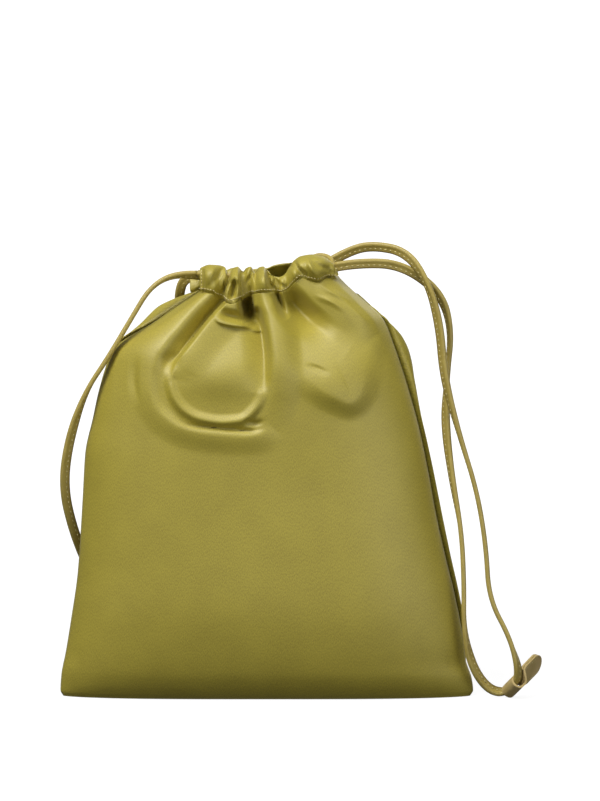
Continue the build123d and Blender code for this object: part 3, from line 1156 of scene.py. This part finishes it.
@dataclass
class SackCloth:
    """The two satin panels, their casings and the lining, with the sack's outline in millimetres."""

    satin: bpy.types.Material
    lining_cloth: bpy.types.Material

    # Seam lines as seen from the front: (height, x).
    left_seam: Knots = (
        (0, -112.5), (3, -114), (12, -113.4), (24, -111), (43, -107.8), (69, -104), (109, -101.2),
        (135, -99.6), (155, -95.2), (168, -92.4), (181, -88.6), (191.4, -84.7), (208, -60.5),
        (224.4, -36.3),
    )
    right_seam: Knots = (
        (0, 112.5), (3, 114.2), (10, 113.3), (20, 110), (30, 109), (43, 106.6), (60, 103), (77, 98.8),
        (100, 93.6), (125, 89), (150, 83.6), (175, 76.6), (194, 70.2), (208, 64.5), (218, 54.5),
        (227, 44.5), (232.7, 39),
    )
    # How far the back bulges out beyond each seam: (height, distance).
    left_bulge: Knots = (
        (0, 0), (191, 0), (195, 0.8), (200, 2.6), (205, 5), (210, 7.6), (215, 9.4), (220, 6.6), (224, 1),
    )
    right_bulge: Knots = (
        (0, 0), (16, 0), (30, 1.2), (60, 2.4), (100, 3.4), (125, 3), (150, 2.8), (175, 5), (186, 6.8),
        (192, 7.2), (198, 6.4), (204, 3.8), (208, 1.6), (212, 0.2), (232, 0),
    )
    # How far the middle of each face stands out from the seams: (height, distance).
    front_depth: Knots = (
        (0, 14), (3, 17.6), (8, 21.4), (16, 24.6), (30, 27), (50, 28.2), (110, 28.8), (150, 28.8),
        (168, 27.8), (185, 25.2), (200, 21.2), (214, 17.4), (224, 16.2), (234, 15.6),
    )
    back_depth: Knots = (
        (0, 14), (3, 17.6), (8, 21.4), (16, 24.6), (30, 27), (50, 28.2), (110, 28.4), (150, 27.6),
        (168, 25.6), (185, 22), (200, 18), (214, 14.4), (224, 12.6), (234, 12.2),
    )
    # The seams' own place, front to back: (height, y).
    seam_place: Knots = ((0, 0), (20, -1.5), (60, -4), (190, -4), (215, -2), (233, 0))
    # The row of stitches that ends the panels and starts the casings: (x, height).
    front_stitch_line: Knots = (
        (-36.3, 224.4), (-29, 223.3), (-24, 220.8), (-21.5, 220), (-19.5, 219.2), (-16, 218),
        (-13.5, 219.5), (-11, 222), (-8, 223.6), (-2, 224.4), (3.3, 223.9), (5.5, 224.5), (8.3, 226),
        (13.2, 229.4), (18.7, 232), (22, 230.6), (25.3, 229.6), (32.5, 232), (39, 232.7),
    )
    back_stitch_line: Knots = (
        (-36.3, 224.4), (-28, 222), (-20, 225), (-10, 223), (0, 225.5), (10, 225), (20, 228), (30, 229.5),
        (39, 232.7),
    )
    # The casings' top edges: (x, height).
    front_top: Knots = (
        (-38.5, 231), (-37.6, 235), (-35, 237.6), (-31, 238.9), (-26, 238.6), (-22.6, 237.4),
        (-20.5, 233.4), (-18.6, 236.6), (-15.5, 237.8), (-12.6, 234.8), (-11, 236.9), (-8.5, 237.8),
        (-6.2, 234.6), (-4.2, 237.2), (-1.5, 237.9), (0.8, 235.2), (3, 232.9), (7, 232.2), (10, 233.6),
        (12.5, 237.4), (15, 241), (19, 243.6), (25, 244.5), (31, 243.4), (35.5, 240.3), (38, 236.5),
        (39, 233),
    )
    back_top: Knots = (
        (-38.5, 231), (-36, 235), (-30, 237), (-24, 234.6), (-18, 236.4), (-12, 234.4), (-6, 236),
        (0, 236.4), (4, 238), (9, 239), (14, 239.5), (20, 241), (27, 241.6), (33, 239.6), (37, 236.5),
        (39, 233),
    )
    # How far the casings' outer walls swell out: (x, distance).
    front_puff: Knots = (
        (-38, 1.0), (-34, 3.6), (-28, 4.6), (-23, 3.6), (-20.5, 0.2), (-18.5, 3.2), (-15.5, 4.0),
        (-12.8, 0.2), (-11.4, 2.6), (-8.6, 3.6), (-6.2, 0.4), (-3.6, 3.6), (-0.6, 4.0), (1.6, 1.0),
        (6, 1.8), (10.5, 1.4), (14, 3.6), (20, 5.2), (27, 4.6), (33, 3.8), (37, 2.4), (39, 1.0),
    )
    back_puff: Knots = (
        (-38, 1.0), (-31, 4), (-24, 0.6), (-18, 4), (-12, 0.6), (-6, 4), (0, 0.6), (7, 4), (14, 0.6),
        (20, 4), (28, 4.6), (36, 2), (39, 1),
    )
    # Distance of the casings' top edges from the middle of the mouth: (x, distance). At one place the
    # back one folds forward over the mouth.
    front_rim: Knots = (
        (-38, 9), (-28, 9.5), (-20.5, 6.5), (-15, 9), (-12.6, 6.5), (-9, 9), (-6, 6.5), (-1, 9.2),
        (4, 10.5), (9, 10.5), (14, 9), (24, 9.5), (38, 9),
    )
    back_rim: Knots = (
        (-38, 9), (-22, 8), (-12, 6), (-3, 3), (2, -5), (6, -7), (10.5, -5.5), (16, 4), (24, 8.5), (38, 9),
    )
    inner_wall: float = 3.6
    strap_front: float = 10.8
    casing_rows: int = 16
    casing_columns: int = 280
    columns: int = 290
    rows: int = 160
    base_rows: int = 4
    cloth: float = 0.6
    lining_step: int = 2
    lining_inset: float = 1.7
    lining_floor: float = 1.2
    lining_thickness: float = 0.5
    seam_allowance: float = 7.0
    seam_thickness: float = 1.2
    # Room that the neck keeps for the straps: (height above the stitch row, distance from the middle).
    strap_room: Knots = ((-16, -6), (-8, -5), (-3, 1), (-1, 8), (0, 10.4))
    stitch_pitch: float = 1.8
    stitch_scale: float = 0.62

    def seam_y(self, z: np.ndarray) -> np.ndarray:
        """Place of the side seams, front to back."""
        return through(self.seam_place, z)

    def stitch_height(self, side: Side, across: np.ndarray) -> np.ndarray:
        """Height of the stitch row where across goes from -1 at the left seam to 1 at the right."""
        line = self.front_stitch_line if side is Side.FRONT else self.back_stitch_line
        left, right = line[0][0], line[-1][0]
        return through(line, left + (right - left) * (across + 1) / 2)

    def row_fractions(self) -> np.ndarray:
        """Heights of the rows as a share of the stitch row's: close together at the base and the folds."""
        return through((
            (0, 0), (0.04, 0.012), (0.09, 0.06), (0.24, 0.6), (1, 1),
        ), np.linspace(0, 1, self.rows))

    def panel_points(self, side: Side, columns: int, rows: np.ndarray, inset: float = 0.0) -> np.ndarray:
        """Points of one panel's outer face.

        Args:
            side: Front or back.
            columns: Number of points across.
            rows: Share of the stitch row's height for each row.
            inset: How far inside the face the points lie, as for a lining.

        Returns:
            An array of rows by columns by 3, in millimetres.
        """
        turn = np.linspace(-1, 1, columns)[None, :] * np.ones((len(rows), 1))
        across = 0.75 * turn + 0.25 * np.sin(turn * math.pi / 2)
        sweep = np.arcsin(across)
        z = rows[:, None] * self.stitch_height(side, across)
        left, right = through(self.left_seam, z), through(self.right_seam, z)
        middle, half = (left + right) / 2, (right - left) / 2 - inset
        if side is Side.FRONT:
            x = middle + half * across
            round_off = (1 - np.abs(across) ** 3.4) ** 0.64
            stand = through(self.front_depth, z) * round_off
            for fold in FRONT_FOLDS:
                stand = stand + fold.stand(x, z) * smoothstep((1 - np.abs(across)) / 0.1)
            y = self.seam_y(z) - stand
        else:
            swell_left = through(self.left_bulge, z) * (inset == 0)
            swell_right = through(self.right_bulge, z) * (inset == 0)
            out_left, out_right = left - swell_left, right + swell_right
            middle, half = (out_left + out_right) / 2, (out_right - out_left) / 2 - inset
            past_left = np.arccos(np.clip((middle - left - inset) / half, 0, 1))
            past_right = np.arccos(np.clip((right - middle - inset) / half, 0, 1))
            past = np.where(turn < 0, past_left, past_right)
            bend = sweep + turn * past
            x = middle + half * np.sin(bend)
            beyond = np.clip((np.abs(bend) - math.pi / 2) / np.maximum(past, 1e-6), 0, 1)
            stand = np.abs(np.cos(bend)) ** 0.8 * through(self.back_depth, z) * (beyond == 0)
            hollow = 1.25 * np.where(turn < 0, swell_left, swell_right) * (1 - beyond) ** 0.7
            stand = stand + hollow * np.where(beyond > 0, 1, smoothstep((np.abs(turn) - 0.5) / 0.4))
            for fold in BACK_FOLDS:
                stand = stand + fold.stand(x, z) * smoothstep((1 - np.abs(turn)) / 0.12)
            y = self.seam_y(z) + stand
        if inset == 0:
            below = z - self.stitch_height(side, across)
            least = through(self.strap_room, below) * smoothstep((1 - np.abs(across)) / 0.06)
            y = side.value * np.maximum(side.value * y, least)
        y = y - side.value * inset
        return np.stack([x, y, z], axis=-1)

    def with_base(self, points: np.ndarray) -> np.ndarray:
        """Carry a panel under the sack to the base seam, which runs along y = 0."""
        first = points[0]
        rows = []
        for share in np.linspace(0, 1, self.base_rows + 1)[:-1]:
            row = first.copy()
            row[:, 1] = first[:, 1] * share
            rows.append(row)
        return np.concatenate([np.array(rows), points])

    def surface_uv(self, points: np.ndarray) -> np.ndarray:
        """Distances over the cloth, across and up, in metres, for the weave."""
        steps = np.linalg.norm(np.diff(points, axis=0), axis=2).mean(axis=1)
        up = np.concatenate([[0], np.cumsum(steps)])
        wide = np.linspace(-1, 1, points.shape[1]) * 116
        grid = np.stack(np.meshgrid(wide, up), axis=-1)
        return grid.reshape(-1, 2) * MM

    def panel(self, side: Side) -> bpy.types.Object:
        """Make one satin panel."""
        points = self.with_base(self.panel_points(side, self.columns, self.row_fractions()))
        faces = grid_faces(points.shape[0], points.shape[1], flip=side is Side.BACK)
        name = f"{side.name.lower()}_satin_panel"
        piece = make_piece(name, points.reshape(-1, 3) * MM, faces, self.satin, self.surface_uv(points))
        thicken(piece, self.cloth)
        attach(piece, "bag")
        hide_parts(f"{side.name.lower()}_panel")
        return piece

    def lining(self, side: Side) -> bpy.types.Object:
        """Make the lining of one panel, which lies just inside it."""
        rows = self.row_fractions()[:: self.lining_step]
        points = self.panel_points(side, self.columns // self.lining_step + 1, rows, self.lining_inset)
        points[..., 2] = np.maximum(points[..., 2], self.lining_floor)
        points = self.with_base(points)
        faces = grid_faces(points.shape[0], points.shape[1], flip=side is Side.BACK)
        name = f"{side.name.lower()}_lining_cloth"
        piece = make_piece(
            name, points.reshape(-1, 3) * MM, faces, self.lining_cloth, self.surface_uv(points)
        )
        thicken(piece, self.lining_thickness)
        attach(piece, "bag")
        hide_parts(f"{side.name.lower()}_lining")
        return piece

    def casing_points(self, side: Side) -> np.ndarray:
        """Points of a casing: up its outer wall from the stitch row, over its top and down inside."""
        base = self.panel_points(side, self.casing_columns, np.array([1.0]))[0]
        x, y, z = base.T
        top = through(self.front_top if side is Side.FRONT else self.back_top, x)
        puff = through(self.front_puff if side is Side.FRONT else self.back_puff, x)
        rim = side.value * through(self.front_rim if side is Side.FRONT else self.back_rim, x)
        inner = side.value * self.inner_wall
        rows = []
        for s in np.linspace(0, 1, self.casing_rows):
            height = z + (top - z) * math.sin(s * math.pi / 2) ** 0.9
            swell = puff * math.sin(math.pi * s**0.85) ** 1.1
            wall = side.value * (y + (rim - y) * smoothstep(s) ** 1.4) + swell
            if side is Side.FRONT:
                folded = sum(fold.stand(x, height) for fold in CASING_FOLDS)
                wall = wall + math.sin(math.pi * s**0.7) ** 0.5 * folded
            wall = np.maximum(wall, self.strap_front * (1 - s**6))
            rows.append(np.stack([x, side.value * wall, height], axis=-1))
        for s in np.linspace(0, 1, self.casing_rows // 2)[1:]:
            height = top - (top - z - 1.0) * (1 - math.cos(s * math.pi / 2))
            rows.append(np.stack([x, rim + (inner - rim) * math.sin(s * math.pi / 2), height], axis=-1))
        return np.array(rows)

    def casing(self, side: Side) -> bpy.types.Object:
        """Make one casing."""
        points = self.casing_points(side)
        faces = grid_faces(points.shape[0], points.shape[1], flip=side is Side.BACK)
        uv = self.surface_uv(points)
        uv[:, 0] += 0.5
        name = f"{side.name.lower()}_gathered_casing"
        piece = make_piece(name, points.reshape(-1, 3) * MM, faces, self.satin, uv)
        thicken(piece, self.cloth)
        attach(piece, "bag")
        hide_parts(f"{side.name.lower()}_casing")
        return piece

    def seam_ribbon(self, hand: Hand) -> bpy.types.Object:
        """Make the pressed seam allowance inside one side seam."""
        z = np.linspace(4, 222, 60)
        edge = through(self.left_seam if hand is Hand.LEFT else self.right_seam, z)
        rows = []
        for share in np.linspace(0, 1, 5):
            inward = edge - hand.value * (1.0 + (self.seam_allowance - 1.0) * share)
            rows.append(np.stack([inward, self.seam_y(z) + 0.4 * np.sin(z / 9 + share), z], axis=-1))
        points = np.array(rows)
        faces = grid_faces(points.shape[0], points.shape[1])
        name = f"{hand.name.lower()}_seam_allowance"
        piece = make_piece(name, points.reshape(-1, 3) * MM, faces, self.satin, self.surface_uv(points))
        thicken(piece, self.seam_thickness)
        piece.modifiers["cloth thickness"].offset = 0.0
        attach(piece, "bag")
        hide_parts(f"{hand.name.lower()}_side_seam")
        return piece

    def base_ribbon(self) -> bpy.types.Object:
        """Make the pressed seam allowance that stands inside the base seam."""
        x = np.linspace(-103, 103, 80)
        rows = [
            np.stack([x, 0.5 * np.sin(x / 14 + h), np.full_like(x, h)], axis=-1)
            for h in np.linspace(0.9, 8, 6)
        ]
        points = np.array(rows)
        piece = make_piece(
            "base_seam_allowance",
            points.reshape(-1, 3) * MM,
            grid_faces(points.shape[0], points.shape[1]),
            self.satin,
            self.surface_uv(points),
        )
        thicken(piece, self.seam_thickness)
        piece.modifiers["cloth thickness"].offset = 0.0
        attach(piece, "bag")
        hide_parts("base_seam")
        return piece

    def casing_stitches(self, side: Side, maker: StitchMaker) -> bpy.types.Object:
        """Sew the row that closes a casing."""
        points = self.casing_points(side)
        row = points[1].copy()
        row[:, 1] += 0.45 * side.value
        out = np.zeros_like(row)
        out[:, 1] = side.value
        out[:, 2] = -0.25
        name = f"{side.name.lower()}_casing_stitches"
        piece = maker.sew(name, [StitchRow(row, out)], self.stitch_pitch, self.stitch_scale)
        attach(piece, "bag")
        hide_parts(f"{side.name.lower()}_casing_stitching")
        return piece

    def opening_stitches(self, hand: Hand, maker: StitchMaker) -> bpy.types.Object:
        """Sew the hems of the two casings' openings at one end."""
        rows = []
        for side in Side:
            points = self.casing_points(side)[: self.casing_rows - 2]
            column = 5 if hand is Hand.LEFT else points.shape[1] - 6
            line = points[1:, column]
            out = np.tile((0.0, side.value, 0.2), (len(line), 1))
            rows.append(StitchRow(line, out))
        piece = maker.sew(f"{hand.name.lower()}_opening_stitches", rows, self.stitch_pitch, self.stitch_scale)
        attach(piece, "bag")
        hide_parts(f"{hand.name.lower()}_opening_stitching")
        return piece

    def build(self, maker: StitchMaker) -> list[bpy.types.Object]:
        """Make every piece of the sack."""
        pieces = []
        for side in Side:
            pieces += [self.panel(side), self.lining(side), self.casing(side)]
            pieces.append(self.casing_stitches(side, maker))
        for hand in Hand:
            pieces += [self.seam_ribbon(hand), self.opening_stitches(hand, maker)]
        pieces.append(self.base_ribbon())
        return pieces


@dataclass
class Studio:
    """Pale floor, soft lights and the camera."""

    cove_start: float = 1.2
    cove_radius: float = 1.6
    air_below: float = 0.06
    air_above: float = 0.18
    floor_front: float = -4.0
    floor_half: float = 6.0
    wall_top: float = 6.0
    camera_distance: float = 2.4
    camera_elevation: float = 4.5
    sensor: float = 24.0
    # The height that the camera frames at the sack, in metres, and where it aims as a share of the sack's.
    frame_height: float = 0.4406
    aim_share: float = 0.6515

    def build(self) -> None:
        """Set the stage."""
        low, high = (Vector(corner) for corner in CAD_BOX)
        middle = (low + high) / 2
        floor_material, floor_tree, shader = new_material("studio_floor")
        shader.inputs["Base Color"].default_value = (0.2, 0.2, 0.2, 1)
        shader.inputs["Emission Color"].default_value = (1, 1, 1, 1)
        spot = add_node(floor_tree, "ShaderNodeNewGeometry")
        away = add_node(
            floor_tree, "ShaderNodeVectorMath", {"operation": "LENGTH"}, {0: spot.outputs["Position"]}
        )
        glow = add_node(
            floor_tree,
            "ShaderNodeMapRange",
            {},
            {
                "Value": away.outputs["Value"],
                "From Min": 0.2,
                "From Max": 1.0,
                "To Min": 0.88,
                "To Max": 1.02,
            },
        )
        floor_tree.links.new(glow.outputs[0], shader.inputs["Emission Strength"])
        shader.inputs["Roughness"].default_value = 0.9
        shader.inputs["Specular IOR Level"].default_value = 0.1
        arc = np.linspace(0, math.pi / 2, 24)
        depth = np.concatenate([[self.floor_front], self.cove_start + self.cove_radius * np.sin(arc)])
        height = np.concatenate([[0.0], self.cove_radius * (1 - np.cos(arc))])
        depth = np.append(depth, depth[-1])
        height = np.append(height, self.wall_top)
        edges = (-self.floor_half, self.floor_half)
        points = np.array([(x, y, z) for y, z in zip(depth, height) for x in edges])
        cove = make_piece("studio_cove", points, grid_faces(len(depth), 2, flip=True), floor_material)
        cove.visible_diffuse = False
        cove.visible_glossy = False

        world = bpy.data.worlds.new("studio_air")
        world.use_nodes = True
        tree = world.node_tree
        toward = add_node(tree, "ShaderNodeTexCoord")
        parts = add_node(tree, "ShaderNodeSeparateXYZ", {}, {0: toward.outputs["Generated"]})
        share = add_node(
            tree, "ShaderNodeMapRange", {}, {"Value": parts.outputs["Z"], "From Min": -0.6, "From Max": 0.7}
        )
        colour = add_node(tree, "ShaderNodeMix", {"data_type": "RGBA"}, {0: share.outputs[0]})
        colour.inputs[6].default_value = (*[self.air_below] * 3, 1)
        colour.inputs[7].default_value = (*[self.air_above] * 3, 1)
        tree.links.new(colour.outputs[2], tree.nodes["Background"].inputs[0])
        bpy.context.scene.world = world
        bpy.context.scene.view_settings.view_transform = "Standard"

        self.lamp("key", (-0.85, -0.95, 1.65), (0, 0, 0.15), 0.9, 32)
        self.lamp("top", (0.3, -0.7, 1.8), (0, 0, 0.14), 0.8, 9)
        self.lamp("left_fill", (-1.2, -2.2, 0.3), (0, 0, 0.06), 1.5, 3)
        self.lamp("right_fill", (1.1, -2.3, 0.2), (0.07, 0, 0.02), 1.4, 12)
        self.lamp("right_low", (1.4, -1.2, 0.15), (0.1, 0, 0.02), 0.8, 4.5)
        self.lamp("back_fill", (0.9, 1.9, 0.8), (0, 0, 0.12), 1.4, 13)

        target = Vector((middle.x, 0.0, high.z * self.aim_share))
        distance, elevation = self.camera_distance, math.radians(self.camera_elevation)
        camera_data = bpy.data.cameras.new("camera")
        camera = bpy.data.objects.new("camera", camera_data)
        bpy.context.scene.collection.objects.link(camera)
        camera.location = target + Vector((0, -math.cos(elevation), math.sin(elevation))) * distance
        camera.rotation_euler = (math.pi / 2 - elevation, 0, 0)
        camera_data.sensor_fit = "VERTICAL"
        camera_data.sensor_height = self.sensor
        camera_data.lens = self.sensor * distance / self.frame_height
        bpy.context.scene.camera = camera

    def lamp(self, name: str, place: tuple, aim: tuple, size: float, power: float) -> None:
        """Hang one soft square lamp.

        Args:
            name: The lamp's name.
            place: Where it hangs, in metres.
            aim: The point that it faces.
            size: Its side, in metres.
            power: Its power in watts.
        """
        data = bpy.data.lights.new(name, "AREA")
        data.size = size
        data.energy = power
        lamp = bpy.data.objects.new(name, data)
        lamp.location = place
        lamp.rotation_euler = (Vector(aim) - Vector(place)).to_track_quat("-Z", "Y").to_euler()
        bpy.context.scene.collection.objects.link(lamp)


def main() -> None:
    """Build the studio and every piece of the sack, and report each piece."""
    logging.basicConfig(level=logging.INFO, format="%(name)s: %(message)s")
    Studio().build()
    maker = StitchMaker(SewingThread().material())
    strap_leather = SmoothLeather("strap_calf_leather", "#BDAA5C", "#A08D42").material()
    tab_leather = SmoothLeather("tab_calf_leather", "#D6BE88", "#A8924C").material()
    pieces = SackCloth(DuchesseSatin().material(), LiningTwill().material()).build(maker)
    tabs = {
        Hand.RIGHT: PullTab(
            Hand.RIGHT,
            (136.1, -12, 7.25),
            (0.42266, -0.70825, 0.56546),
            (0.55, 0.68, 0.44),
            tab_leather,
            maker,
        ),
        Hand.LEFT: PullTab(
            Hand.LEFT,
            (-71.75, 46.2, 7.35),
            (-0.63114, -0.50955, 0.58482),
            (0.42, 0.39, 0.82),
            tab_leather,
            maker,
            twist=4.0,
        ),
    }
    strings = {
        Hand.RIGHT: Drawstring(Hand.RIGHT, RIGHT_LOOP, RIGHT_RUN, strap_leather, maker, 0.603),
        Hand.LEFT: Drawstring(Hand.LEFT, LEFT_LOOP, LEFT_RUN, strap_leather, maker, 0.587),
    }
    for hand in Hand:
        tab = tabs[hand].build()
        pieces += tab + strings[hand].build(tab)
    for piece in pieces:
        log.info("%s: %d faces", piece.name, len(piece.data.polygons))


if __name__ == "__main__":
    main()
